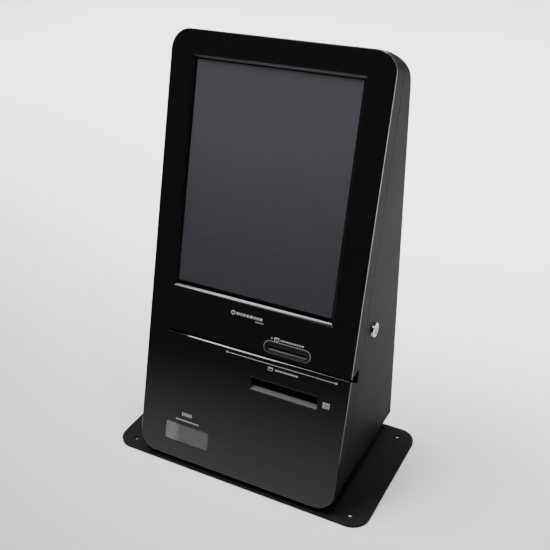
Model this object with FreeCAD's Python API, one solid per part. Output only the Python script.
"""Counter-top card payment and ticket machine: cabinet on a base plate, with a hinged front door.

Row frame, mm: X to the right of a person facing the machine, Y to the back, Z up. The origin is
the centre of the base plate's underside. Front pieces are drawn flat in the front frame, where
x is the same, y is the depth behind the fascia's face and z runs up the face from its lower
edge, and leaned() then lays them back against the cabinet.
"""
import FreeCAD, Part

import math
import os

from FreeCAD import Placement, Rotation, Vector

X = Vector(1, 0, 0)
Y = Vector(0, 1, 0)
Z = Vector(0, 0, 1)

# Overall sizes
BODY_W = 306.0            # width of fascia, door and cabinet
FRONT_H = 589.0           # fascia's length up its slope
LEAN = 16.4               # degrees that the front leans back
CORNER_R = 27.0           # corners of the front outline
TOP_REAR_R = 56.0         # roll from the top down into the back
FRONT_INSET = 1.0         # fascia's lower edge behind the base plate's front edge
FRONT_LIFT = 11.6         # fascia's lower edge above the ground
TOP_D = 46.6              # depth of the top behind the fascia, to its corner before rolling

# Base plate and plinth
PLATE_W = 395.0
PLATE_T = 4.0
PLATE_R = 25.0
HOLE_R = 3.25             # clearance for M6 floor or counter bolts
HOLE_INSET_X = 25.0
HOLE_INSET_Y = 18.3
PLINTH_SIDE_INSET = 28.0
PLINTH_REAR_INSET = 34.0
PLINTH_FRONT_INSET = 46.0
PLINTH_T = 2.0
PLINTH_LIP = 18.0

# Cabinet
SKIRT_Z = 30.0            # lower edge of the cabinet's walls
SHELL_T = 2.0
REAR_LIP = 14.0           # flange round the service opening
REAR_LIP_T = 2.0
COVER_T = 1.7
COVER_TOP = 500.0
COVER_GAP = 0.4
PAN_T = 1.5
PAN_LIP = 14.0

# Door
DOOR_D = 28.0             # fascia face to parting line
DOOR_GAP = 0.5            # parting line
FASCIA_T = 3.5
FASCIA_BEVEL = 0.9
TRAY_T = 2.0
FIT = 0.2                 # clearance round inserts in the fascia

# Screen, as seen in its portrait position
VIEW_W = 231.2
VIEW_H = 299.5
VIEW_LOW = 255.1
TRIM_W = 3.3
TRIM_FACE = 0.5           # flat rim outside the bevel
TRIM_BEVEL_D = 2.55       # the bevel's depth; below it the wall is straight
TRIM_RECESS = 4.0
GLASS_T = 2.0
GLASS_EDGE = 5.0
LCD_W = 253.5
LCD_H = 326.5
LCD_T = 11.5

# Magnetic card groove
GROOVE_S = 187.8          # height up the face of the groove's middle
GROOVE_W = 3.0
GROOVE_DEPTH = 15.0
GROOVE_START = -119.5
GROOVE_LIP = 1.6          # bevel on the groove's lower lip
CHANNEL_H = 11.0
CHANNEL_D = 18.0
NOTCH_DEPTH = 25.0
NOTCH_H = 19.0

# Chip card mouth and reader
MOUTH_X = 60.8
MOUTH_S = 203.0
MOUTH_W = 66.5
MOUTH_H = 16.0
MOUTH_PROUD = 0.8
CARD_W = 55.8
CARD_SLOT_H = 2.4
CARD_LIP = 2.2            # bevel under the card slot
CARD_SLOT_S = 201.8
READER_H = 12.0
READER_D = 72.0

# Receipt chute
RECEIPT_X = 63.0
RECEIPT_W = 98.0
RECEIPT_LOW = 142.0
RECEIPT_H = 12.0
RECEIPT_LIP = 5.0
CHUTE_WALL = 1.2

# Code scanner
SCAN_X = -77.0
SCAN_S = 39.5
SCAN_W = 72.0
SCAN_H = 27.0
SCAN_R = 5.0
SCAN_WINDOW_T = 2.5
SCAN_D = 24.0

# Door hinges, on the left side
HINGE_S = (80.0, 440.0)
HINGE_L = 60.0
KNUCKLE_R = 3.5
HINGE_PIN_R = 1.5
RUNNING = 0.05            # radial running clearance of every shaft
LEAF_T = 2.0
LEAF_W = 24.0
LEAF_END_GAP = 0.4

# Lock, on the right side
LOCK_D = 59.0
LOCK_S = 242.0
LOCK_R = 9.5
LOCK_FLANGE_R = 11.0
LOCK_FLANGE_T = 3.0
LOCK_L = 22.0
PLUG_R = 6.0
CAM_T = 2.5
CAM_W = 12.0
CAM_REACH = 28.0
KEEPER_T = 2.0
KEEPER_H = 13.0
KEEPER_GAP = 2.5

# Receipt printer and paper
PRINTER_X = RECEIPT_X
PRINTER_W = 110.0
PRINTER_T = 2.0
PRINTER_FRONT_GAP = 8.0   # behind the chute
PRINTER_D = 66.0
PRINTER_H = 45.0
PLATEN_R = 6.0
PLATEN_SHAFT_R = 2.5
PLATEN_W = 84.0
GEAR_MODULE = 1.0
GEAR_W = 4.0
PLATEN_TEETH = 24
PINION_TEETH = 12
CUTTER_D = 8.0
BLADE_T = 1.2
BLADE_LIFT = 3.6          # raised edge above the paper
BLADE_TRAVEL = 10.0       # down to the end of the cut
ROLL_R = 38.0
ROLL_W = 80.0
CORE_R = 9.0
SPINDLE_R = 6.0
ROLL_FLOOR_GAP = 8.0
BUTTON_R = 4.0
BUTTON_TRAVEL = 1.0

# Electronics
FAN_X = -70.0
FAN_Z = 140.0
FAN_SIZE = 60.0
FAN_T = 15.0
FAN_BORE_R = 28.0
FAN_HUB_R = 12.0
FAN_BLADES = 7
INLET_X = -112.0
INLET_Z = 66.0
SWITCH_X = -66.0
ROCKER_TILT = 10.0
GROMMET_X = -28.0
GROMMET_R = 5.0
PORTS_Z = INLET_Z
CASE_W = 130.0
CASE_D = 72.0
CASE_H = 46.0
CASE_T = 1.2
SUPPLY_T = 30.0
SUPPLY_D = 78.0
SUPPLY_H = 99.0
SUPPLY_Z = 112.0

# Derived places
SIN = math.sin(math.radians(LEAN))
COS = math.cos(math.radians(LEAN))
HALF_W = BODY_W / 2
PLATE_D = FRONT_INSET + FRONT_H * SIN + TOP_D * COS
PLATE_BACK = PLATE_D / 2
FRONT_Y = -PLATE_D / 2 + FRONT_INSET
REAR_Y = PLATE_BACK
LEAN_BACK = Placement(Vector(0, FRONT_Y, FRONT_LIFT), Rotation(X, -LEAN))
COVER_IN = REAR_Y - COVER_T
LIP_IN = COVER_IN - REAR_LIP_T
INNER_X = HALF_W - SHELL_T


def to_row(depth, up):
    """Row Y and Z of a point given in the front frame."""
    return (FRONT_Y + up * SIN + depth * COS, FRONT_LIFT + up * COS - depth * SIN)


def to_front(y, z):
    """Depth and height in the front frame of a row point."""
    back = y - FRONT_Y
    rise = z - FRONT_LIFT
    return (back * COS - rise * SIN, back * SIN + rise * COS)


def leaned(shape):
    """Lay a piece drawn in the front frame back into its place."""
    moved = shape.copy()
    moved.Placement = LEAN_BACK.multiply(moved.Placement)
    return moved


def block(x, y, z):
    """Box from three (low, high) pairs."""
    size = (x[1] - x[0], y[1] - y[0], z[1] - z[0])
    return Part.makeBox(*size, Vector(x[0], y[0], z[0]))


def about(middle, size):
    """A (low, high) pair centred on a value."""
    return (middle - size / 2, middle + size / 2)


def rod(radius, start, direction, length):
    return Part.makeCylinder(radius, length, Vector(*start), direction)


def rounded(solid, radius, axis, wanted=None):
    """Round the straight edges that run along an axis, or the wanted ones of them."""
    chosen = []
    for edge in solid.Edges:
        if edge.Curve.TypeId != "Part::GeomLine":
            continue
        if edge.tangentAt(edge.FirstParameter).cross(axis).Length > 1e-6:
            continue
        if wanted is None or wanted(edge.CenterOfMass):
            chosen.append(edge)
    return solid.makeFillet(radius, chosen)


def prism(points, direction):
    """Straight extrusion of a polygon of 3-D points."""
    corners = [Vector(*point) for point in points]
    return Part.Face(Part.makePolygon(corners + corners[:1])).extrude(direction)


def drilled(solid, holes):
    """Cut a list of tools out of a solid."""
    return solid.cut(holes) if holes else solid


def stadium(middle_x, middle_z, width, height, y):
    """Slot-shaped prism with round ends, standing between two depths."""
    flat = block(about(middle_x, width), y, about(middle_z, height))
    return rounded(flat, height / 2 - 0.01, Y)


def envelope(inset, rear_inset, low_z):
    """Outer form of door and cabinet together, drawn in by the insets."""
    rear = REAR_Y - rear_inset
    top_up = FRONT_H - inset
    top_front = to_row(0, top_up)
    reach = (rear - top_front[0]) / COS
    top_back = to_row(reach, top_up)
    low_up = to_front(0, low_z)[1]
    bottom_front = (FRONT_Y + (low_z - FRONT_LIFT) * SIN / COS, low_z)
    side = [bottom_front, top_front, top_back, (rear, low_z)]
    half = HALF_W - inset
    body = prism([(-half, y, z) for y, z in side], X * (2 * half))
    body = rounded(body, TOP_REAR_R - inset, X,
                   lambda c: abs(c.y - rear) < 1e-3 and abs(c.z - top_back[1]) < 1e-3)
    long = FRONT_H + PLATE_D
    outline = block((-half, half), (-inset, long), (inset, top_up))
    outline = rounded(outline, CORNER_R - inset, Y)
    return body.common(leaned(outline))


def depth_slab(near, far):
    """Everything between two depths behind the face, in the row frame."""
    wide = 2 * BODY_W
    tall = 2 * FRONT_H
    return leaned(block((-wide, wide), (near, far), (-tall, tall)))


# --- base plate and plinth -------------------------------------------------------------------

PLINTH_X = HALF_W - PLINTH_SIDE_INSET
PLINTH_Y = (FRONT_Y + PLINTH_FRONT_INSET, REAR_Y - PLINTH_REAR_INSET)
SCREW_R = 2.5
SCREW_GAP = 0.1
SCREW_HEAD_R = 4.6


def plinth_screw_spots():
    inset = PLINTH_T + PLINTH_LIP / 2
    xs = (-PLINTH_X + inset, PLINTH_X - inset)
    ys = (PLINTH_Y[0] + inset, PLINTH_Y[1] - inset)
    return [(x, y) for x in xs for y in ys]


def bolt_spots():
    x = PLATE_W / 2 - HOLE_INSET_X
    y = PLATE_D / 2 - HOLE_INSET_Y
    return [(-x, -y), (x, -y), (-x, y), (x, y)]


def base_plate():
    plate = block(about(0, PLATE_W), about(0, PLATE_D), (0, PLATE_T))
    plate = rounded(plate, PLATE_R, Z)
    holes = [rod(HOLE_R, (x, y, -1), Z, PLATE_T + 2) for x, y in bolt_spots()]
    for x, y in plinth_screw_spots():
        holes.append(rod(SCREW_R + SCREW_GAP, (x, y, -1), Z, PLATE_T + 2))
        sink = SCREW_HEAD_R + SCREW_GAP
        holes.append(Part.makeCone(sink, SCREW_R + SCREW_GAP, sink - SCREW_R, Vector(x, y, 0)))
    return drilled(plate, holes)


def plinth():
    ring = block((-PLINTH_X, PLINTH_X), PLINTH_Y, (PLATE_T, SKIRT_Z))
    ring = rounded(ring, 2 * PLINTH_T, Z)
    hollow = block((PLINTH_T - PLINTH_X, PLINTH_X - PLINTH_T),
                   (PLINTH_Y[0] + PLINTH_T, PLINTH_Y[1] - PLINTH_T),
                   (PLATE_T + PLINTH_T, SKIRT_Z - PLINTH_T))
    lip = PLINTH_T + PLINTH_LIP
    window = block((lip - PLINTH_X, PLINTH_X - lip),
                   (PLINTH_Y[0] + lip, PLINTH_Y[1] - lip), (0, SKIRT_Z + 1))
    holes = [rod(SCREW_R + SCREW_GAP, (x, y, 0), Z, SKIRT_Z + 1) for x, y in plinth_screw_spots()]
    return drilled(ring, [hollow, window] + holes)


def plinth_screws():
    """Countersunk screws up through the plate, and their nuts."""
    pieces = []
    for x, y in plinth_screw_spots():
        head = Part.makeCone(SCREW_HEAD_R, SCREW_R, SCREW_HEAD_R - SCREW_R, Vector(x, y, 0.1))
        shank = rod(SCREW_R, (x, y, 0.1), Z, PLATE_T + PLINTH_T + 5)
        pieces.append(head.fuse(shank))
        pieces.append(nut(x, y, PLATE_T + PLINTH_T, Z, SCREW_R, 4.0))
    return Part.makeCompound(pieces)


def nut(x, y, z, axis, bore, thick):
    """Hexagon nut standing on a face."""
    across = 1.6 * bore + 1.5
    rim = [Vector(across * math.cos(math.radians(60 * k)), across * math.sin(math.radians(60 * k)), 0)
           for k in range(7)]
    body = Part.Face(Part.makePolygon(rim)).extrude(Z * thick)
    body = body.cut(rod(bore + SCREW_GAP, (0, 0, -1), Z, thick + 2))
    body.Placement = Placement(Vector(x, y, z), Rotation(Z, axis))
    return body


# --- cabinet ---------------------------------------------------------------------------------

SHELL_NEAR = DOOR_D + DOOR_GAP
LOCK_Y, LOCK_Z = to_row(LOCK_D, LOCK_S)
COVER_SCREW_R = 1.6
SCREW_PAN_R = 3.1
SCREW_PAN_T = 1.3


def cover_screw_spots():
    x = INNER_X - REAR_LIP / 2
    low = SKIRT_Z + REAR_LIP / 2
    high = COVER_TOP - REAR_LIP / 2
    spots = [(side * x, low + (high - low) * k / 3) for side in (-1, 1) for k in range(4)]
    return spots + [(0, high)]


def leaf_screw_spots(hinge, side):
    """Depth and height of the screws in one hinge leaf: side 1 is the cabinet's leaf."""
    depth = DOOR_D + DOOR_GAP / 2 + side * (KNUCKLE_R + LEAF_W) / 2 + side * 2
    return [(depth, hinge + HINGE_L * share) for share in (0.2, 0.8)]


def leaf_holes(side):
    holes = []
    for hinge in HINGE_S:
        for depth, up in leaf_screw_spots(hinge, side):
            holes.append(rod(COVER_SCREW_R + SCREW_GAP, (-HALF_W - 9, depth, up), X, 16))
    return holes


def cabinet_shell():
    outer = envelope(0, 0, SKIRT_Z)
    inner = envelope(SHELL_T, COVER_T + REAR_LIP_T, SKIRT_Z - 5)
    shell = outer.cut(inner).common(depth_slab(SHELL_NEAR, FRONT_H))
    recess = block((-INNER_X, INNER_X), (COVER_IN, REAR_Y + 1), (0, COVER_TOP))
    opening = block((REAR_LIP - INNER_X, INNER_X - REAR_LIP),
                    (LIP_IN - 1, REAR_Y + 1), (0, COVER_TOP - REAR_LIP))
    holes = [rod(LOCK_R + SCREW_GAP, (INNER_X - 5, LOCK_Y, LOCK_Z), X, SHELL_T + 10)]
    for x, z in cover_screw_spots():
        holes.append(rod(COVER_SCREW_R + SCREW_GAP, (x, LIP_IN - 1, z), Y, 8))
    holes += [leaned(hole) for hole in leaf_holes(1)]
    return drilled(shell, [recess, opening] + holes)


PAN_Z = (SKIRT_Z, SKIRT_Z + PAN_T)


def floor_pan():
    front = FRONT_Y + (SKIRT_Z - FRONT_LIFT) * SIN / COS + SHELL_NEAR / COS + 1
    pan = block((-INNER_X, INNER_X), (front, LIP_IN), (SKIRT_Z, SKIRT_Z + PAN_LIP))
    hollow = block((PAN_T - INNER_X, INNER_X - PAN_T), (front - 1, LIP_IN - PAN_T),
                   (PAN_Z[1], SKIRT_Z + PAN_LIP + 1))
    holes = [rod(SCREW_R + SCREW_GAP, (x, y, 0), Z, SKIRT_Z + 5) for x, y in plinth_screw_spots()]
    for x, z in cover_screw_spots():
        if z < SKIRT_Z + PAN_LIP:
            holes.append(rod(COVER_SCREW_R + SCREW_GAP, (x, LIP_IN - 3, z), Y, 4))
    pan = drilled(pan, [hollow] + holes)
    return pan.common(depth_slab(SHELL_NEAR, FRONT_H))


def floor_screws():
    """Pan-head screws down through the floor pan into the plinth's upper lip."""
    pieces = []
    for x, y in plinth_screw_spots():
        shank = rod(SCREW_R, (x, y, SKIRT_Z - PLINTH_T - 5), Z, PLINTH_T + PAN_T + 6)
        head = rod(SCREW_HEAD_R, (x, y, PAN_Z[1]), Z, 2.4)
        pieces.append(head.fuse(shank))
    return Part.makeCompound(pieces)


def vent_slots():
    """Obround louvre slots in the upper part of the rear cover."""
    slots = []
    pitch_x = 66.0
    pitch_z = 9.0
    for column in range(3):
        for row in range(9):
            x = (column - 1) * pitch_x
            z = COVER_TOP - 44 - row * pitch_z
            slots.append(stadium(x, z, 54, 4, (COVER_IN - 1, REAR_Y + 1)))
    return slots


INLET_W = 27.4
INLET_H = 20.4
SWITCH_W = 21.0
SWITCH_H = 14.6
GROMMET_SEAT_R = GROMMET_R + 3.0


def rear_cover():
    cover = block((COVER_GAP - INNER_X, INNER_X - COVER_GAP), (COVER_IN, REAR_Y),
                  (SKIRT_Z + COVER_GAP, COVER_TOP - COVER_GAP))
    cover = rounded(cover, 3.0, Y)
    through = (COVER_IN - 1, REAR_Y + 1)
    cuts = vent_slots()
    cuts.append(rod(FAN_BORE_R - 1, (FAN_X, through[0], FAN_Z), Y, COVER_T + 2))
    cuts.append(block(about(INLET_X, INLET_W), through, about(INLET_Z, INLET_H)))
    cuts.append(block(about(SWITCH_X, SWITCH_W), through, about(PORTS_Z, SWITCH_H)))
    cuts.append(rod(GROMMET_SEAT_R, (GROMMET_X, through[0], PORTS_Z), Y, COVER_T + 2))
    for x, z in cover_screw_spots():
        cuts.append(rod(COVER_SCREW_R + SCREW_GAP, (x, through[0], z), Y, COVER_T + 2))
    return drilled(cover, cuts)


def panel_screw(start, axis, length):
    """Small pan-head screw: its head stands at the far end of the shank."""
    tip = Vector(*start)
    end = tip + axis * length
    return rod(COVER_SCREW_R, tip, axis, length).fuse(rod(SCREW_PAN_R, end, axis, SCREW_PAN_T))


def panel_screws():
    """The cabinet's small screws: round the rear cover and in the hinges."""
    reach = REAR_Y - LIP_IN + 2
    screws = [panel_screw((x, REAR_Y - reach, z), Y, reach) for x, z in cover_screw_spots()]
    return Part.makeCompound(screws + [leaned(screw) for screw in leaf_screws(1)])


# --- rear fittings ---------------------------------------------------------------------------

def fan_frame():
    y = (COVER_IN - FAN_T, COVER_IN)
    frame = block(about(FAN_X, FAN_SIZE), y, about(FAN_Z, FAN_SIZE))
    frame = rounded(frame, 4.0, Y)
    frame = frame.cut(rod(FAN_BORE_R, (FAN_X, y[0] - 1, FAN_Z), Y, FAN_T + 2))
    hub = rod(FAN_HUB_R, (FAN_X, y[0], FAN_Z), Y, 2.0)
    for k in range(3):
        strut = block(about(FAN_X, 3.0), (y[0], y[0] + 2.0), (FAN_Z, FAN_Z + FAN_BORE_R + 1))
        strut.rotate(Vector(FAN_X, 0, FAN_Z), Y, 120 * k + 45)
        hub = hub.fuse(strut)
    pin = rod(1.5, (FAN_X, y[0], FAN_Z), Y, FAN_T - 4)
    return frame.fuse(hub).fuse(pin)


def fan_rotor():
    low = COVER_IN - FAN_T + 2.6
    rotor = rod(FAN_HUB_R, (FAN_X, low, FAN_Z), Y, FAN_T - 4.4)
    for k in range(FAN_BLADES):
        blade = block(about(FAN_X, 1.4), (low + 0.5, low + FAN_T - 5.2),
                      (FAN_Z + FAN_HUB_R - 1.5, FAN_Z + FAN_BORE_R - 1.2))
        middle = Vector(FAN_X, low + (FAN_T - 4.4) / 2, FAN_Z)
        blade.rotate(middle, Z, 38)
        blade.rotate(middle, Y, 360 * k / FAN_BLADES)
        blade = blade.common(rod(FAN_BORE_R - 0.9, (FAN_X, low, FAN_Z), Y, FAN_T - 4.4))
        rotor = rotor.fuse(blade)
    return rotor.cut(rod(1.5 + RUNNING, (FAN_X, low - 1, FAN_Z), Y, FAN_T - 5.0))


def fan_guard():
    """Ring grille outside the cover, on four lugs."""
    y = REAR_Y
    wire = 1.6
    guard = None
    for radius in (8.0, 15.0, 22.0, 29.0):
        ring = rod(radius, (FAN_X, y, FAN_Z), Y, wire)
        ring = ring.cut(rod(radius - wire, (FAN_X, y - 1, FAN_Z), Y, wire + 2))
        guard = ring if guard is None else guard.fuse(ring)
    for turn in (45, 135):
        bar = block(about(FAN_X, 2 * FAN_SIZE * 0.62), (y, y + wire), about(FAN_Z, 2.4))
        bar.rotate(Vector(FAN_X, y, FAN_Z), Y, turn)
        guard = guard.fuse(bar)
    return guard.removeSplitter()


def power_inlet():
    """Three-pin appliance inlet: flange outside, well and blades inside."""
    flange = rounded(block(about(INLET_X, 48), (REAR_Y, REAR_Y + 2.5), about(INLET_Z, 24)), 4, Y)
    body = block(about(INLET_X, INLET_W - 2 * FIT), (REAR_Y - 22, REAR_Y),
                 about(INLET_Z, INLET_H - 2 * FIT))
    well = rounded(block(about(INLET_X, 24), (REAR_Y - 18, REAR_Y + 4), about(INLET_Z, 17)), 3, Y)
    inlet = flange.fuse(body).cut(well)
    for offset_x, offset_z in ((-7, 3.2), (0, 5.4), (7, 3.2)):
        blade = block(about(INLET_X + offset_x, 2), (REAR_Y - 19, REAR_Y - 3),
                      about(INLET_Z + offset_z, 4))
        inlet = inlet.fuse(blade)
    return inlet


ROCKER_AXIS_Y = REAR_Y - 1.0
ROCKER_PIN_R = 1.0


def switch_body():
    rim = block(about(SWITCH_X, SWITCH_W + 3), (REAR_Y, REAR_Y + 2), about(PORTS_Z, SWITCH_H + 3))
    flange = rounded(rim, 1.5, Y)
    body = block(about(SWITCH_X, SWITCH_W - 2 * FIT), (REAR_Y - 14, REAR_Y),
                 about(PORTS_Z, SWITCH_H - 2 * FIT))
    well = block(about(SWITCH_X, SWITCH_W - 4), (REAR_Y - 10, REAR_Y + 3), about(PORTS_Z, SWITCH_H - 3.4))
    shell = flange.fuse(body).cut(well)
    pin = rod(ROCKER_PIN_R, (SWITCH_X, ROCKER_AXIS_Y, PORTS_Z - SWITCH_H / 2 + 0.6), Z, SWITCH_H - 1.2)
    return shell.fuse(pin)


def switch_rocker():
    """Rocker cap, shown tipped to its off side."""
    half = SWITCH_W / 2 - 3.4
    low = PORTS_Z - SWITCH_H / 2 + 2.3
    axis_y = ROCKER_AXIS_Y
    face = [(SWITCH_X - half, axis_y + 4.2), (SWITCH_X, axis_y + 2.8), (SWITCH_X + half, axis_y + 4.2),
            (SWITCH_X + half, axis_y - 1.5), (SWITCH_X + 3, axis_y - 3.4), (SWITCH_X - 3, axis_y - 3.4),
            (SWITCH_X - half, axis_y - 1.5)]
    cap = prism([(x, y, low) for x, y in face], Z * (SWITCH_H - 4.6))
    cap = cap.cut(rod(ROCKER_PIN_R + RUNNING, (SWITCH_X, axis_y, low - 1), Z, SWITCH_H))
    cap.rotate(Vector(SWITCH_X, axis_y, 0), Z, ROCKER_TILT)
    return cap


def cable_grommet():
    """Rubber grommet with a groove that holds the cover's edge."""
    side = [(GROMMET_R, -4.0), (GROMMET_SEAT_R + 2.2, -3.0), (GROMMET_SEAT_R + 2.2, -COVER_T - 0.02),
            (GROMMET_SEAT_R - 0.02, -COVER_T - 0.02), (GROMMET_SEAT_R - 0.02, 0.02),
            (GROMMET_SEAT_R + 2.2, 0.02), (GROMMET_SEAT_R + 1.6, 2.0), (GROMMET_R, 2.4)]
    points = [Vector(GROMMET_X + r, REAR_Y + y, PORTS_Z) for r, y in side]
    face = Part.Face(Part.makePolygon(points + points[:1]))
    return face.revolve(Vector(GROMMET_X, REAR_Y, PORTS_Z), Y, 360)


# --- electronics -----------------------------------------------------------------------------

CASE_X = (2 - INNER_X + 6, 2 - INNER_X + 6 + CASE_W)
CASE_Y = (REAR_Y - 34 - CASE_D, REAR_Y - 34)
CASE_Z = (PAN_Z[1] + 4, PAN_Z[1] + 4 + CASE_H)


def computer_case():
    case = block(CASE_X, CASE_Y, CASE_Z)
    pocket = block((CASE_X[0] + CASE_T, CASE_X[1] - CASE_T), (CASE_Y[0] + CASE_T, CASE_Y[1] - CASE_T),
                   (CASE_Z[0] + CASE_T, CASE_Z[1] + 1))
    case = case.cut(pocket)
    for x in (CASE_X[0] + 12, CASE_X[1] - 12):
        for y in (CASE_Y[0] + 12, CASE_Y[1] - 12):
            case = case.fuse(rod(5, (x, y, PAN_Z[1]), Z, CASE_Z[0] - PAN_Z[1] + 0.5))
    ports = [block(about(CASE_X[0] + 22 + 24 * k, 15), (CASE_Y[1] - 3, CASE_Y[1] + 1),
                   (CASE_Z[0] + 8, CASE_Z[0] + 18)) for k in range(4)]
    return drilled(case, ports)


def computer_lid():
    lid = block(CASE_X, CASE_Y, (CASE_Z[1], CASE_Z[1] + CASE_T))
    slots = []
    for k in range(9):
        x = CASE_X[0] + 25 + 10 * k
        slots.append(block(about(x, 3), (CASE_Y[0] + 15, CASE_Y[1] - 15), (CASE_Z[1] - 1, CASE_Z[1] + 3)))
    return drilled(lid, slots)


def main_board():
    x = (CASE_X[0] + 4, CASE_X[1] - 4)
    y = (CASE_Y[0] + 4, CASE_Y[1] - 4)
    low = CASE_Z[0] + 7
    pieces = [block(x, y, (low, low + 1.6))]
    pieces.append(block((x[0] + 20, x[0] + 56), (y[0] + 14, y[0] + 50), (low + 1.6, low + 20)))
    pieces.append(block((x[0] + 70, x[0] + 76), (y[0] + 5, y[1] - 5), (low + 1.6, low + 27)))
    pieces.append(block((x[0] + 90, x[0] + 104), (y[0] + 8, y[0] + 40), (low + 1.6, low + 14)))
    for dx in (6, x[1] - x[0] - 6):
        for dy in (5, y[1] - y[0] - 5):
            pieces.append(rod(2.5, (x[0] + dx, y[0] + dy, CASE_Z[0] + CASE_T), Z, low - CASE_Z[0] - CASE_T))
    return Part.makeCompound(pieces)


def power_supply():
    """Enclosed supply on the left wall, with a perforated cover."""
    x = (-INNER_X, -INNER_X + SUPPLY_T)
    y = (LIP_IN - SUPPLY_D - 4, LIP_IN - 4)
    z = (SUPPLY_Z, SUPPLY_Z + SUPPLY_H)
    body = block(x, y, z)
    holes = []
    for row in range(9):
        for column in range(6):
            spot = (x[1] - 1.5, y[0] + 12 + 11 * column, z[0] + 16 + 9 * row)
            holes.append(rod(3.0, spot, X, 3))
    terminal = block((x[0] + 4, x[1] - 6), (y[0] + 6, y[1] - 6), (z[0] - 1, z[0] + 9))
    return drilled(body, holes + [terminal])


# --- printer and paper -----------------------------------------------------------------------

CHUTE_END = DOOR_D
PRINTER_MID = to_row(CHUTE_END, RECEIPT_LOW + RECEIPT_H / 2)
PAPER_Z = PRINTER_MID[1] + 2.0
PRINTER_Y0 = PRINTER_MID[0] + PRINTER_FRONT_GAP + PRINTER_H * SIN
PRINTER_Y = (PRINTER_Y0, PRINTER_Y0 + PRINTER_D)
PRINTER_Z = (PAPER_Z - 27.0, PAPER_Z - 27.0 + PRINTER_H)
PRINTER_SIDES = about(PRINTER_X, PRINTER_W)
PLATEN_Y = PRINTER_Y[0] + 20.0
PLATEN_Z = PAPER_Z + 3.0
GEAR_SPAN = GEAR_MODULE * (PLATEN_TEETH + PINION_TEETH) / 2
PINION_Y = PLATEN_Y + GEAR_SPAN
GEAR_X = PRINTER_SIDES[1] + 1.5
STAND_Z = PRINTER_Z[0]
ROLL_Z = PAN_Z[1] + ROLL_FLOOR_GAP + ROLL_R
ROLL_Y = PRINTER_Y[0] + 38.0
LEVER_Y = PLATEN_Y + 24.0
LEVER_Z = PLATEN_Z + 2.0
BUTTON_X = PRINTER_SIDES[0] + 22.0
BUTTON_Y = PRINTER_Y[1] - 14.0


def printer_stand():
    """Two cheeks from the floor pan to the printer, with feet, joined by a shelf."""
    outer = about(PRINTER_X, PRINTER_W - 4)
    y = (PRINTER_Y[0] + 4, PRINTER_Y[1] - 2)
    stand = block(outer, y, (PAN_Z[1], STAND_Z))
    inner = block((outer[0] + 2, outer[1] - 2), (y[0] - 1, y[1] + 1), (PAN_Z[1] - 1, STAND_Z - 2))
    stand = stand.cut(inner)
    for x in ((outer[0] - 12, outer[0] + 2), (outer[1] - 2, outer[1] + 12)):
        stand = stand.fuse(block(x, y, (PAN_Z[1], PAN_Z[1] + 2)))
    return stand.cut(rod(SPINDLE_R, (outer[0] - 1, ROLL_Y, ROLL_Z), X, PRINTER_W))


def roll_spindle():
    outer = about(PRINTER_X, PRINTER_W - 4)
    body = rod(SPINDLE_R - RUNNING, (outer[0] - 3, ROLL_Y, ROLL_Z), X, PRINTER_W + 2)
    head = rod(SPINDLE_R + 3, (outer[0] - 5, ROLL_Y, ROLL_Z), X, 4.9)
    return body.fuse(head)


def paper_core():
    x = about(PRINTER_X, ROLL_W)
    core = rod(CORE_R, (x[0], ROLL_Y, ROLL_Z), X, ROLL_W)
    return core.cut(rod(SPINDLE_R, (x[0] - 1, ROLL_Y, ROLL_Z), X, ROLL_W + 2))


def paper_roll():
    x = about(PRINTER_X, ROLL_W)
    roll = rod(ROLL_R, (x[0], ROLL_Y, ROLL_Z), X, ROLL_W)
    return roll.cut(rod(CORE_R, (x[0] - 1, ROLL_Y, ROLL_Z), X, ROLL_W + 2))


def printer_frame():
    """Side plates and base of the printing mechanism."""
    frame = block(PRINTER_SIDES, PRINTER_Y, PRINTER_Z)
    inner = block((PRINTER_SIDES[0] + PRINTER_T, PRINTER_SIDES[1] - PRINTER_T),
                  (PRINTER_Y[0] - 1, PRINTER_Y[1] + 1), (PRINTER_Z[0] + PRINTER_T, PRINTER_Z[1] + 1))
    holes = [rod(PLATEN_SHAFT_R + RUNNING, (PRINTER_SIDES[0] - 1, PLATEN_Y, PLATEN_Z), X, PRINTER_W + 2)]
    holes.append(rod(4.0, (PRINTER_SIDES[1] - 5, PINION_Y, PLATEN_Z), X, 10))
    holes.append(rod(2.5 + RUNNING, (PRINTER_SIDES[0] - 1, LEVER_Y, LEVER_Z), X, 5))
    return drilled(frame, [inner] + holes)


def printer_cover():
    """Top cover with a collar for the feed button."""
    plate = block(PRINTER_SIDES, (PLATEN_Y + 4, PRINTER_Y[1]), (PRINTER_Z[1], PRINTER_Z[1] + 2))
    collar = rod(BUTTON_R + 2, (BUTTON_X, BUTTON_Y, PRINTER_Z[1]), Z, 3.5)
    stem_hole = rod(2.0 + 0.1, (BUTTON_X, BUTTON_Y, PRINTER_Z[1] - 1), Z, 10)
    well = rod(BUTTON_R + 0.3, (BUTTON_X, BUTTON_Y, PRINTER_Z[1] + 1.2), Z, 10)
    return plate.fuse(collar).cut(stem_hole).cut(well)


def feed_button():
    low = PRINTER_Z[1] + 1.2 + BUTTON_TRAVEL + 0.3
    cap = rod(BUTTON_R, (BUTTON_X, BUTTON_Y, low), Z, 3.0)
    stem = rod(2.0, (BUTTON_X, BUTTON_Y, PRINTER_Z[1] - 2), Z, low - PRINTER_Z[1] + 2.5)
    return cap.fuse(stem)


def print_head():
    """Thermal head bar under the platen, on two posts."""
    x = about(PRINTER_X, PLATEN_W + 2)
    top = PLATEN_Z - PLATEN_R - 0.4
    head = block(x, about(PLATEN_Y, 14), (top - 4, top))
    for post_x in (x[0] + 8, x[1] - 8):
        head = head.fuse(block(about(post_x, 8), about(PLATEN_Y, 8), (PRINTER_Z[0] + PRINTER_T, top - 3.5)))
    return head


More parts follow.
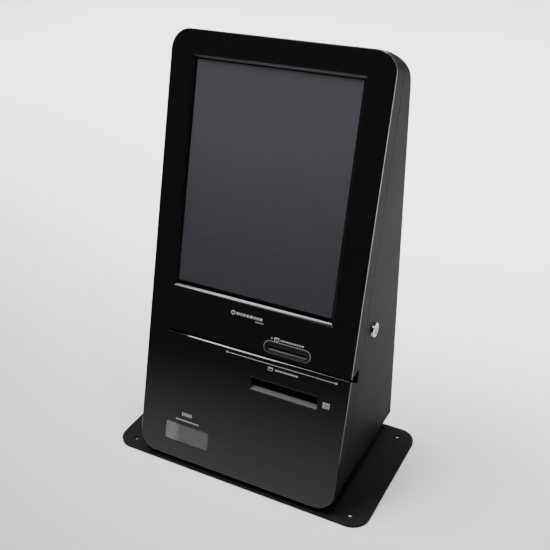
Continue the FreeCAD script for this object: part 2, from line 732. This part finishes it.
def gear(teeth, module, width, bore, turn):
    """Straight-flanked spur gear about X with its middle at the origin."""
    pitch = math.pi * module / 2
    radius = teeth * module / 2
    shape = ((radius - 1.15 * module, 0.62), (radius, 0.34), (radius + 0.8 * module, 0.16))
    outline = []
    for tooth in range(teeth):
        middle = 2 * math.pi * tooth / teeth + turn
        flank = [(r, -share * pitch / radius) for r, share in shape]
        flank += [(r, share * pitch / radius) for r, share in reversed(shape)]
        outline += [(r * math.cos(middle + a), r * math.sin(middle + a)) for r, a in flank]
    body = prism([(0, y, z) for y, z in outline], X * width)
    return body.cut(rod(bore, (-1, 0, 0), X, width + 2))


def platen_roller():
    x = about(PRINTER_X, PLATEN_W)
    return rod(PLATEN_R, (x[0], PLATEN_Y, PLATEN_Z), X, PLATEN_W).cut(
        rod(PLATEN_SHAFT_R, (x[0] - 1, PLATEN_Y, PLATEN_Z), X, PLATEN_W + 2))


def platen_shaft():
    start = PRINTER_SIDES[0] - 2
    shaft = rod(PLATEN_SHAFT_R, (start, PLATEN_Y, PLATEN_Z), X, GEAR_X + GEAR_W + 1.5 - start)
    ring = rod(PLATEN_SHAFT_R + 1.8, (start, PLATEN_Y, PLATEN_Z), X, 1.2)
    return shaft.fuse(ring)


def platen_gear():
    wheel = gear(PLATEN_TEETH, GEAR_MODULE, GEAR_W, PLATEN_SHAFT_R, 0)
    wheel.translate(Vector(GEAR_X, PLATEN_Y, PLATEN_Z))
    return wheel


def motor_pinion():
    """Pinion and motor shaft in one, in mesh behind the platen gear."""
    half_tooth = math.pi / PINION_TEETH
    wheel = gear(PINION_TEETH, GEAR_MODULE, GEAR_W, 1.0, math.pi + half_tooth)
    shaft = rod(1.5, (PRINTER_SIDES[1] - 8 - GEAR_X, 0, 0), X, GEAR_W + GEAR_X - PRINTER_SIDES[1] + 9)
    wheel = wheel.fuse(shaft)
    wheel.translate(Vector(GEAR_X, PINION_Y, PLATEN_Z))
    return wheel


def printer_motor():
    inside = PRINTER_SIDES[1] - PRINTER_T
    body = rod(10.5, (inside - 22, PINION_Y, PLATEN_Z), X, 22)
    return body.cut(rod(1.5 + RUNNING, (inside - 7, PINION_Y, PLATEN_Z), X, 8))


CUTTER_Y = (PRINTER_Y[0] + 1.0, PRINTER_Y[0] + 1.0 + CUTTER_D)
CUTTER_X = (PRINTER_SIDES[0] + PRINTER_T, PRINTER_SIDES[1] - PRINTER_T)
BLADE_Y = sum(CUTTER_Y) / 2


def cutter_housing():
    body = block(CUTTER_X, CUTTER_Y, (PRINTER_Z[0] + PRINTER_T, PRINTER_Z[1]))
    channel = block((CUTTER_X[0] + 5, CUTTER_X[1] - 5), about(BLADE_Y, BLADE_T + 1.0),
                    (PAPER_Z + BLADE_LIFT - BLADE_TRAVEL - 4.6, PRINTER_Z[1] + 1))
    slot = block((CUTTER_X[0] + 7, CUTTER_X[1] - 7), (CUTTER_Y[0] - 1, CUTTER_Y[1] + 1),
                 (PAPER_Z - 3, PAPER_Z + 3))
    return drilled(body, [channel, slot])


def cutter_blade():
    """Guillotine blade with a shallow V edge, raised clear of the paper."""
    half = (CUTTER_X[1] - CUTTER_X[0]) / 2 - 5.4
    low = PAPER_Z + BLADE_LIFT
    top = PRINTER_Z[1] - 0.5
    edge = [(-half, low), (0, low + 2), (half, low), (half, top), (-half, top)]
    return prism([(PRINTER_X + x, BLADE_Y - BLADE_T / 2, z) for x, z in edge], Y * BLADE_T)


def head_lever():
    """Release lever outside the left side plate."""
    x = (PRINTER_SIDES[0] - 5.5, PRINTER_SIDES[0] - 2.5)
    boss = rod(5, (x[0], LEVER_Y, LEVER_Z), X, 3)
    arm = block(x, about(LEVER_Y, 6), (LEVER_Z, PRINTER_Z[1] + 10))
    grip = block((x[0] - 4, x[1]), about(LEVER_Y, 6), (PRINTER_Z[1] + 7, PRINTER_Z[1] + 11))
    stub = rod(2.5, (x[0], LEVER_Y, LEVER_Z), X, PRINTER_SIDES[0] + PRINTER_T - x[0] + 1)
    return boss.fuse(arm).fuse(grip).fuse(stub)


# --- lock ------------------------------------------------------------------------------------

LOCK_IN = HALF_W - LOCK_L
CAM_X = (LOCK_IN - 2.0 - CAM_T, LOCK_IN - 2.0)


def lock_body():
    """Threaded barrel through the right wall, with a domed flange outside."""
    barrel = rod(LOCK_R, (LOCK_IN, LOCK_Y, LOCK_Z), X, LOCK_L)
    seat = Vector(HALF_W, LOCK_Y, LOCK_Z)
    flange = Part.makeCone(LOCK_FLANGE_R, LOCK_FLANGE_R - 1.5, LOCK_FLANGE_T, seat, X)
    bore = rod(PLUG_R + RUNNING, (LOCK_IN - 1, LOCK_Y, LOCK_Z), X, LOCK_L + LOCK_FLANGE_T + 2)
    return barrel.fuse(flange).cut(bore)


def lock_nut():
    ring = Part.makeCylinder(LOCK_R + 3.2, 4.0).cut(Part.makeCylinder(LOCK_R + 0.1, 9, Vector(0, 0, -1)))
    flat = LOCK_R + 2.4
    for low in (flat, -flat - 9):
        ring = ring.cut(block((low, low + 9), (-20, 20), (-1, 5)))
    ring.Placement = Placement(Vector(INNER_X - 4.0, LOCK_Y, LOCK_Z), Rotation(Z, X))
    return ring


def lock_plug():
    start = CAM_X[0] - 1.0
    plug = rod(PLUG_R, (CAM_X[1], LOCK_Y, LOCK_Z), X, HALF_W + LOCK_FLANGE_T - 0.6 - CAM_X[1])
    stud = rod(2.5, (start - 3, LOCK_Y, LOCK_Z), X, CAM_X[1] - start + 4)
    keyway = block((HALF_W - 6, HALF_W + 9), about(LOCK_Y, 2.0), about(LOCK_Z, 8.0))
    return plug.fuse(stud).cut(keyway)


def lock_cam():
    """Cam plate, shown turned forward, in its unlocked place."""
    bar = block((0, CAM_T), (-CAM_REACH, CAM_W / 2), about(0, CAM_W))
    bar = rounded(bar, CAM_W / 2 - 0.01, X)
    bar = bar.cut(rod(2.6, (-1, 0, 0), X, CAM_T + 2))
    bar.Placement = Placement(Vector(CAM_X[0], LOCK_Y, LOCK_Z), Rotation(X, -LEAN))
    return bar


def cam_nut():
    return nut(CAM_X[0] - 2.6, LOCK_Y, LOCK_Z, X, 2.5, 2.6)


def keeper():
    """Bracket on the door whose lip the turned cam stands in front of."""
    x = (CAM_X[1] + 1.5, CAM_X[1] + 1.5 + KEEPER_T)
    up = (LOCK_S + CAM_REACH - KEEPER_H, LOCK_S + CAM_REACH)
    back = LOCK_D + CAM_W / 2 + KEEPER_GAP
    near = FASCIA_T + TRAY_T
    arm = block(x, (near, back + KEEPER_T), up)
    foot = block((x[0], x[0] + 14), (near, near + KEEPER_T), up)
    lip = block((CAM_X[0] - 4, x[1]), (back, back + KEEPER_T), up)
    return arm.fuse(foot).fuse(lip)


# --- hinges ----------------------------------------------------------------------------------

HINGE_X = -HALF_W - LEAF_T - KNUCKLE_R + 1.5
HINGE_DEPTH = DOOR_D + DOOR_GAP / 2


def knuckle_spans(hinge, side):
    third = HINGE_L / 3
    if side > 0:
        return [(hinge, hinge + third - LEAF_END_GAP), (hinge + 2 * third + LEAF_END_GAP, hinge + HINGE_L)]
    return [(hinge + third, hinge + 2 * third)]


def hinge_leaves(side):
    """Both hinges' leaves on one side: 1 for the cabinet, -1 for the door."""
    leaves = []
    leaf_x = (-HALF_W - LEAF_T, -HALF_W)
    start = HINGE_DEPTH + side * (KNUCKLE_R + 0.6)
    end = HINGE_DEPTH + side * LEAF_W
    for hinge in HINGE_S:
        leaf = block(leaf_x, (min(start, end), max(start, end)), (hinge, hinge + HINGE_L))
        for low, high in knuckle_spans(hinge, side):
            leaf = leaf.fuse(rod(KNUCKLE_R, (HINGE_X, HINGE_DEPTH, low), Z, high - low))
            leaf = leaf.fuse(block(leaf_x, (min(HINGE_DEPTH, start), max(HINGE_DEPTH, start)), (low, high)))
        leaf = leaf.cut(rod(HINGE_PIN_R + RUNNING, (HINGE_X, HINGE_DEPTH, hinge - 1), Z, HINGE_L + 2))
        leaves.append(leaf.cut(leaf_holes(side)))
    return Part.makeCompound(leaves)


def hinge_pins():
    pins = []
    for hinge in HINGE_S:
        pin = rod(HINGE_PIN_R, (HINGE_X, HINGE_DEPTH, hinge), Z, HINGE_L)
        head = rod(HINGE_PIN_R + 1, (HINGE_X, HINGE_DEPTH, hinge + HINGE_L), Z, 1.5)
        pins.append(pin.fuse(head))
    return Part.makeCompound(pins)


def leaf_screws(side):
    face = -HALF_W - LEAF_T
    reach = LEAF_T + SHELL_T + 2
    screws = []
    for hinge in HINGE_S:
        for depth, up in leaf_screw_spots(hinge, side):
            screws.append(panel_screw((face + reach, depth, up), -X, reach))
    return screws


def door_hinge_screws():
    return Part.makeCompound(leaf_screws(-1))


# --- door ------------------------------------------------------------------------------------

SCREEN_MID = VIEW_LOW + VIEW_H / 2
TRIM_OUT_W = VIEW_W + 2 * TRIM_W
TRIM_OUT_H = VIEW_H + 2 * TRIM_W
PLATE_NEAR = FASCIA_T
PLATE_FAR = FASCIA_T + TRAY_T
CHUTE_LOW = RECEIPT_LOW - RECEIPT_LIP
CHUTE_TOP = RECEIPT_LOW + RECEIPT_H + CHUTE_WALL


def front_openings(grow, y):
    """Openings for the inserts, grown all round by a clearance."""
    cuts = [block(about(0, TRIM_OUT_W + 2 * grow), y, about(SCREEN_MID, TRIM_OUT_H + 2 * grow))]
    cuts.append(stadium(MOUTH_X, MOUTH_S, MOUTH_W + 2 * grow, MOUTH_H + 2 * grow, y))
    chute_x = about(RECEIPT_X, RECEIPT_W + 2 * CHUTE_WALL + 2 * grow)
    cuts.append(block(chute_x, y, (CHUTE_LOW - grow, CHUTE_TOP + grow)))
    scan = block(about(SCAN_X, SCAN_W + 2 * grow), y, about(SCAN_S, SCAN_H + 2 * grow))
    cuts.append(rounded(scan, SCAN_R, Y))
    return cuts


def fascia():
    """Gloss front plate with bevelled rim, insert openings and the card groove."""
    plate = block((-HALF_W, HALF_W), (0, FASCIA_T), (0, FRONT_H))
    plate = rounded(plate, CORNER_R, Y)
    rim = [edge for edge in plate.Edges if abs(edge.CenterOfMass.y) < 1e-6]
    plate = plate.makeChamfer(FASCIA_BEVEL, rim)
    cuts = front_openings(FIT, (-1, FASCIA_T + 1))
    low = GROOVE_S - GROOVE_W / 2
    high = GROOVE_S + GROOVE_W / 2
    groove = [(-1, low - GROOVE_LIP - 1), (GROOVE_LIP, low), (FASCIA_T + 1, low),
              (FASCIA_T + 1, high), (-1, high)]
    cuts.append(prism([(GROOVE_START, y, z) for y, z in groove], X * BODY_W))
    return drilled(plate, cuts)


def notch():
    """Card run-out in the right flange: narrow at the face, wide at the back."""
    half = GROOVE_W / 2
    side = [(-1, GROOVE_S - half), (NOTCH_DEPTH, GROOVE_S - NOTCH_H / 2),
            (NOTCH_DEPTH, GROOVE_S + NOTCH_H / 2), (-1, GROOVE_S + half)]
    return prism([(HALF_W - 12, y, z) for y, z in side], X * 20)


def door_tray():
    """Pressed door: a plate behind the fascia and a flange back to the parting line."""
    outer = envelope(0, 0, FRONT_LIFT).common(depth_slab(FASCIA_T, DOOR_D))
    inner = envelope(TRAY_T, COVER_T, FRONT_LIFT + TRAY_T).common(depth_slab(PLATE_FAR, DOOR_D + 1))
    tray = outer.cut(inner)
    y = (PLATE_NEAR - 1, PLATE_FAR + 1)
    cuts = front_openings(2 * FIT, y)
    cuts[0] = block(about(0, TRIM_OUT_W + 6), y, about(SCREEN_MID, TRIM_OUT_H + 6))
    channel = (GROOVE_S - CHANNEL_H / 2 + 2, GROOVE_S + CHANNEL_H / 2 - 2)
    cuts.append(block((GROOVE_START - 1, HALF_W - TRAY_T), y, channel))
    cuts.append(notch())
    cuts += leaf_holes(-1)
    return drilled(tray, [leaned(cut) for cut in cuts])


def screen_trim():
    """Bevelled surround that steps down from the fascia's face to the glass."""
    outer = block(about(0, TRIM_OUT_W), (0, TRIM_RECESS), about(SCREEN_MID, TRIM_OUT_H))
    profile = []
    for y, out in ((-0.01, TRIM_W - TRIM_FACE), (TRIM_BEVEL_D, 0)):
        half_w = VIEW_W / 2 + out
        half_h = VIEW_H / 2 + out
        rim = [Vector(sx * half_w, y, SCREEN_MID + sz * half_h)
               for sx, sz in ((-1, -1), (1, -1), (1, 1), (-1, 1))]
        profile.append(Part.makePolygon(rim + rim[:1]))
    wall = block(about(0, VIEW_W), (TRIM_BEVEL_D, TRIM_RECESS + 1), about(SCREEN_MID, VIEW_H))
    return outer.cut([Part.makeLoft(profile, True, True), wall])


GLASS_Y = (TRIM_RECESS, TRIM_RECESS + GLASS_T)
LCD_Y = (GLASS_Y[1] + 0.2, GLASS_Y[1] + 0.2 + LCD_T)


def touch_glass():
    size = (VIEW_W + 2 * GLASS_EDGE, VIEW_H + 2 * GLASS_EDGE)
    return block(about(0, size[0]), GLASS_Y, about(SCREEN_MID, size[1]))


def lcd_panel():
    panel = block(about(0, LCD_W), LCD_Y, about(SCREEN_MID, LCD_H))
    return rounded(panel, 2.0, Y)


def lcd_clamps():
    """Four Z-shaped straps that hold the panel to the tray."""
    straps = []
    for side in (-1, 1):
        for share in (-0.3, 0.3):
            low = SCREEN_MID + share * LCD_H - 10
            edge = LCD_W / 2
            outline = [(edge - 14, LCD_Y[1]), (edge + 0.4, LCD_Y[1]), (edge + 0.4, PLATE_FAR),
                       (edge + 12, PLATE_FAR), (edge + 12, PLATE_FAR + 2), (edge + 2.4, PLATE_FAR + 2),
                       (edge + 2.4, LCD_Y[1] + 2), (edge - 14, LCD_Y[1] + 2)]
            straps.append(prism([(side * x, y, low) for x, y in outline], Z * 20))
    return Part.makeCompound(straps)


def screen_board():
    """Panel driver board on four standoffs, with its parts."""
    gap = 5.0
    low = LCD_Y[1] + gap
    x = (-62, 62)
    z = (SCREEN_MID - 45, SCREEN_MID + 45)
    pieces = [block(x, (low, low + 1.6), z)]
    for sx in (x[0] + 6, x[1] - 6):
        for sz in (z[0] + 6, z[1] - 6):
            pieces.append(rod(3, (sx, LCD_Y[1], sz), Y, gap))
    chips = ((20, 22, 18, 18, 3), (60, 30, 26, 12, 7), (90, 60, 14, 24, 9), (34, 66, 30, 8, 5))
    for dx, dz, w, h, tall in chips:
        pieces.append(block((x[0] + dx, x[0] + dx + w), (low + 1.6, low + 1.6 + tall),
                            (z[0] + dz - h / 2, z[0] + dz + h / 2)))
    return Part.makeCompound(pieces)


def swipe_channel():
    """Moulded guide behind the groove."""
    x = (GROOVE_START - 4, HALF_W - TRAY_T - 0.3)
    body = block(x, (PLATE_FAR, PLATE_FAR + CHANNEL_D), about(GROOVE_S, CHANNEL_H))
    slot = block((GROOVE_START, HALF_W), (PLATE_FAR - 1, GROOVE_DEPTH), about(GROOVE_S, GROOVE_W))
    return body.cut(slot).cut(notch())


HEAD_X = 20.0


def swipe_head():
    """Magnetic head and its leaf spring under the guide."""
    top = GROOVE_S - CHANNEL_H / 2
    head = block(about(HEAD_X, 16), (PLATE_FAR + 3, PLATE_FAR + 14), (top - 9, top))
    return head.fuse(block(about(HEAD_X, 50), (PLATE_FAR + 7, PLATE_FAR + 12), (top - 10.2, top - 9)))


def card_mouth():
    """Raised stadium bezel with the card slot."""
    body = stadium(MOUTH_X, MOUTH_S, MOUTH_W, MOUTH_H, (-MOUTH_PROUD, PLATE_FAR))
    well = stadium(MOUTH_X, MOUTH_S, MOUTH_W - 3.6, MOUTH_H - 3.6, (-MOUTH_PROUD - 1, 0.8))
    low = CARD_SLOT_S - CARD_SLOT_H / 2
    high = CARD_SLOT_S + CARD_SLOT_H / 2
    flare = [(0.7, low - CARD_LIP), (0.7 + CARD_LIP, low), (0.7 + CARD_LIP, high), (0.7, high + 0.8)]
    lead_in = prism([(MOUTH_X - CARD_W / 2, y, z) for y, z in flare], X * CARD_W)
    slot = block(about(MOUTH_X, CARD_W), (0, PLATE_FAR + 1), about(CARD_SLOT_S, CARD_SLOT_H))
    return drilled(body, [well, lead_in, slot])


def chip_reader():
    """Reader body behind the mouth, with the card's path."""
    low = CARD_SLOT_S - 4.0
    body = block(about(MOUTH_X, MOUTH_W - 0.5), (PLATE_FAR, PLATE_FAR + READER_D), (low, low + READER_H))
    slot = block(about(MOUTH_X, CARD_W), (PLATE_FAR - 1, PLATE_FAR + READER_D - 8),
                 about(CARD_SLOT_S, CARD_SLOT_H))
    return body.cut(slot)


def receipt_chute():
    """Paper outlet with a sloped lower lip."""
    outer_x = about(RECEIPT_X, RECEIPT_W + 2 * CHUTE_WALL)
    body = block(outer_x, (0, CHUTE_END), (CHUTE_LOW, CHUTE_TOP))
    low = RECEIPT_LOW
    tunnel = [(-1, CHUTE_LOW - 0.4), (RECEIPT_LIP, low), (CHUTE_END + 1, low),
              (CHUTE_END + 1, low + RECEIPT_H), (-1, low + RECEIPT_H)]
    inner = prism([(RECEIPT_X - RECEIPT_W / 2, y, z) for y, z in tunnel], X * RECEIPT_W)
    under = block(about(RECEIPT_X, RECEIPT_W + 9), (PLATE_FAR + 4, CHUTE_END + 1), (0, low - CHUTE_WALL))
    return body.cut(inner).cut(under)


def scanner_window():
    size = block(about(SCAN_X, SCAN_W), (0.3, 0.3 + SCAN_WINDOW_T), about(SCAN_S, SCAN_H))
    return rounded(size, SCAN_R - FIT, Y)


def scanner_module():
    """Imager behind the window: open-fronted housing with a lens barrel."""
    near = 0.3 + SCAN_WINDOW_T + 0.3
    x = about(SCAN_X, SCAN_W - 4)
    up = about(SCAN_S, SCAN_H - 4)
    body = block(x, (near, near + SCAN_D), up)
    pocket = block((x[0] + 2, x[1] - 2), (near - 1, near + SCAN_D - 6), (up[0] + 2, up[1] - 2))
    body = body.cut(pocket)
    barrel = rod(7, (SCAN_X - 18, near + 6, SCAN_S), Y, SCAN_D - 10)
    barrel = barrel.cut(rod(5, (SCAN_X - 18, near + 5, SCAN_S), Y, 7))
    lamp = block(about(SCAN_X + 16, 22), (near + 10, near + SCAN_D - 5), about(SCAN_S, 14))
    return body.fuse(barrel).fuse(lamp)


def contactless_antenna():
    """Loop antenna board on the tray, left of the card mouth."""
    return block((-113, -43), (PLATE_FAR, PLATE_FAR + 1.6), (GROOVE_S + 9, VIEW_LOW - 20))


# --- files -----------------------------------------------------------------------------------

ROW_PIECES = {
    "base_plate": base_plate, "plinth": plinth, "plinth_screws": plinth_screws,
    "cabinet_shell": cabinet_shell, "floor_pan": floor_pan, "floor_screws": floor_screws,
    "rear_cover": rear_cover, "panel_screws": panel_screws,
    "fan_frame": fan_frame, "fan_rotor": fan_rotor, "fan_guard": fan_guard,
    "power_inlet": power_inlet, "switch_body": switch_body, "switch_rocker": switch_rocker,
    "cable_grommet": cable_grommet,
    "computer_case": computer_case, "computer_lid": computer_lid, "main_board": main_board,
    "power_supply": power_supply,
    "printer_stand": printer_stand, "roll_spindle": roll_spindle, "paper_core": paper_core,
    "paper_roll": paper_roll, "printer_frame": printer_frame, "printer_cover": printer_cover,
    "feed_button": feed_button, "print_head": print_head, "platen_roller": platen_roller,
    "platen_shaft": platen_shaft, "platen_gear": platen_gear, "motor_pinion": motor_pinion,
    "printer_motor": printer_motor, "cutter_housing": cutter_housing, "cutter_blade": cutter_blade,
    "head_lever": head_lever, "lock_body": lock_body, "lock_nut": lock_nut, "lock_plug": lock_plug,
    "lock_cam": lock_cam, "cam_nut": cam_nut,
}
FRONT_PIECES = {
    "hinge_leaves_cabinet": lambda: hinge_leaves(1), "hinge_leaves_door": lambda: hinge_leaves(-1),
    "door_hinge_screws": door_hinge_screws, "hinge_pins": hinge_pins, "fascia": fascia,
    "screen_trim": screen_trim, "touch_glass": touch_glass, "lcd_panel": lcd_panel,
    "lcd_clamps": lcd_clamps, "screen_board": screen_board,
    "swipe_channel": swipe_channel, "swipe_head": swipe_head,
    "card_mouth": card_mouth, "chip_reader": chip_reader, "receipt_chute": receipt_chute,
    "scanner_window": scanner_window, "scanner_module": scanner_module,
    "contactless_antenna": contactless_antenna, "keeper": keeper,
}


def main():
    os.makedirs("parts", exist_ok=True)
    shapes = {name: make() for name, make in ROW_PIECES.items()}
    shapes.update({name: leaned(make()) for name, make in FRONT_PIECES.items()})
    shapes["door_tray"] = door_tray()
    for name, shape in shapes.items():
        if not shape.isValid() or not shape.Solids:
            print("faulty:", name)
        shape.exportStep(f"parts/{name}.step")
    return shapes


if __name__ == "__main__":
    main()
